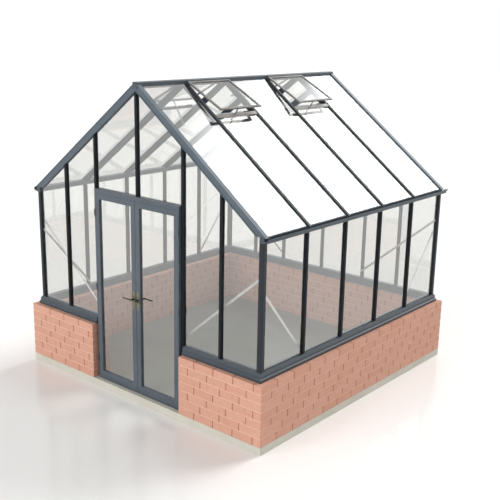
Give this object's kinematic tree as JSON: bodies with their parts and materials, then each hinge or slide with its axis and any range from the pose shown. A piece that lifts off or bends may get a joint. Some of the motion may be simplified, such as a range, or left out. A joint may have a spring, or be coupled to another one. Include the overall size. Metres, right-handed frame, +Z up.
{
  "type": "walk-in greenhouse",
  "caption": "Gable-roofed aluminium greenhouse on a brick dwarf wall, with glazed double doors and hinged roof vents.",
  "frame": {"origin": "middle of the slab's underside", "axes": "+Z up, the door gable faces -Y, +X to the right of someone facing the doors from outside"},
  "size_m": [3.316, 3.281, 3.1895],
  "materials": {
    "frame_paint": "powder-coated anthracite, satin",
    "door_paint": "powder-coated blue-grey, satin",
    "vent_aluminium": "mill-finish, lightly weathered",
    "glass": "clear horticultural glass",
    "brick": "sand-faced salmon brick with pale mortar",
    "concrete": "trowelled concrete",
    "handle_brass": "darkened brass",
    "stay_steel": "zinc-plated steel"
  },
  "bodies": {
    "house": {"base_slab": "concrete", "brick_wall": "brick", "sill_frame": "frame_paint", "corner_post_front_left": "frame_paint", "corner_post_back_left": "frame_paint", "side_bar_left_1": "frame_paint", "side_bar_left_2": "frame_paint", "side_bar_left_3": "frame_paint", "side_bar_left_4": "frame_paint", "eaves_beam_left": "frame_paint", "glazing_left_wall": "glass", "glazing_left_roof": "glass", "corner_post_front_right": "frame_paint", "corner_post_back_right": "frame_paint", "side_bar_right_1": "frame_paint", "side_bar_right_2": "frame_paint", "side_bar_right_3": "frame_paint", "side_bar_right_4": "frame_paint", "eaves_beam_right": "frame_paint", "glazing_right_wall": "glass", "glazing_right_roof": "glass", "front_bar_left": "frame_paint", "front_bar_right": "frame_paint", "front_post_left": "frame_paint", "front_post_right": "frame_paint", "front_mullion": "frame_paint", "front_gable_rafters": "frame_paint", "glazing_front_gable": "glass", "back_bar_left": "frame_paint", "back_bar_right": "frame_paint", "back_post_left": "frame_paint", "back_post_right": "frame_paint", "back_mullion": "frame_paint", "back_gable_rafters": "frame_paint", "glazing_back_gable": "glass", "ridge_beam": "frame_paint", "rafter_pair_1": "frame_paint", "rafter_pair_2": "frame_paint", "rafter_pair_3": "frame_paint", "rafter_pair_4": "frame_paint", "door_frame": "door_paint"},
    "door_left": {"door_leaf_left": "door_paint", "door_pane_left": "glass"},
    "handle_left": {"door_handle_left": "handle_brass"},
    "door_right": {"door_leaf_right": "door_paint", "door_pane_right": "glass"},
    "handle_right": {"door_handle_right": "handle_brass"},
    "vent_left_1": {"vent_frame_left_1": "vent_aluminium", "vent_pane_left_1": "glass"},
    "stay_left_1": {"vent_stay_left_1": "stay_steel"},
    "vent_left_2": {"vent_frame_left_2": "vent_aluminium", "vent_pane_left_2": "glass"},
    "stay_left_2": {"vent_stay_left_2": "stay_steel"},
    "vent_right_1": {"vent_frame_right_1": "vent_aluminium", "vent_pane_right_1": "glass"},
    "stay_right_1": {"vent_stay_right_1": "stay_steel"},
    "vent_right_2": {"vent_frame_right_2": "vent_aluminium", "vent_pane_right_2": "glass"},
    "stay_right_2": {"vent_stay_right_2": "stay_steel"}
  },
  "joints": [
    {"name": "door_left_hinge", "type": "hinge", "parent": "house", "child": "door_left", "pos_m": [-0.5887, -1.593, 1.08], "axis": [0, 0, -1], "range_deg": [0, 90]},
    {"name": "handle_left_turn", "type": "hinge", "parent": "door_left", "child": "handle_left", "pos_m": [-0.031, -1.593, 1.077], "axis": [0, -1, 0], "range_deg": [0, 40], "stiffness_Nm_per_rad": 1.6, "springref_deg": -28.65},
    {"name": "door_right_hinge", "type": "hinge", "parent": "house", "child": "door_right", "pos_m": [0.5887, -1.593, 1.08], "axis": [0, 0, 1], "range_deg": [0, 90]},
    {"name": "handle_right_turn", "type": "hinge", "parent": "door_right", "child": "handle_right", "pos_m": [0.031, -1.593, 1.077], "axis": [0, 1, 0], "range_deg": [0, 40], "stiffness_Nm_per_rad": 1.6, "springref_deg": -28.65},
    {"name": "vent_left_1_hinge", "type": "hinge", "parent": "house", "child": "vent_left_1", "pos_m": [-0.05119, -0.62, 3.17235], "axis": [0, 1, 0], "range_deg": [-8.6, 24.3]},
    {"name": "stay_left_1_pivot", "type": "hinge", "parent": "vent_left_1", "child": "stay_left_1", "pos_m": [-0.45352, -0.62, 2.9344], "axis": [0, 1, 0], "range_deg": [-12.6, 4.8]},
    {"name": "vent_left_2_hinge", "type": "hinge", "parent": "house", "child": "vent_left_2", "pos_m": [-0.05119, 0.62, 3.17235], "axis": [0, 1, 0], "range_deg": [-8.6, 24.3]},
    {"name": "stay_left_2_pivot", "type": "hinge", "parent": "vent_left_2", "child": "stay_left_2", "pos_m": [-0.45352, 0.62, 2.9344], "axis": [0, 1, 0], "range_deg": [-12.6, 4.8]},
    {"name": "vent_right_1_hinge", "type": "hinge", "parent": "house", "child": "vent_right_1", "pos_m": [0.05119, -0.62, 3.17235], "axis": [0, -1, 0], "range_deg": [-8.6, 24.3]},
    {"name": "stay_right_1_pivot", "type": "hinge", "parent": "vent_right_1", "child": "stay_right_1", "pos_m": [0.45352, -0.62, 2.9344], "axis": [0, -1, 0], "range_deg": [-12.6, 4.8]},
    {"name": "vent_right_2_hinge", "type": "hinge", "parent": "house", "child": "vent_right_2", "pos_m": [0.05119, 0.62, 3.17235], "axis": [0, -1, 0], "range_deg": [-8.6, 24.3]},
    {"name": "stay_right_2_pivot", "type": "hinge", "parent": "vent_right_2", "child": "stay_right_2", "pos_m": [0.45352, 0.62, 2.9344], "axis": [0, -1, 0], "range_deg": [-12.6, 4.8]}
  ],
  "couplings": [
    {"joint": "stay_left_1_pivot", "follows": "vent_left_1_hinge", "ratio": -0.5},
    {"joint": "stay_left_2_pivot", "follows": "vent_left_2_hinge", "ratio": -0.5},
    {"joint": "stay_right_1_pivot", "follows": "vent_right_1_hinge", "ratio": -0.5},
    {"joint": "stay_right_2_pivot", "follows": "vent_right_2_hinge", "ratio": -0.5}
  ]
}
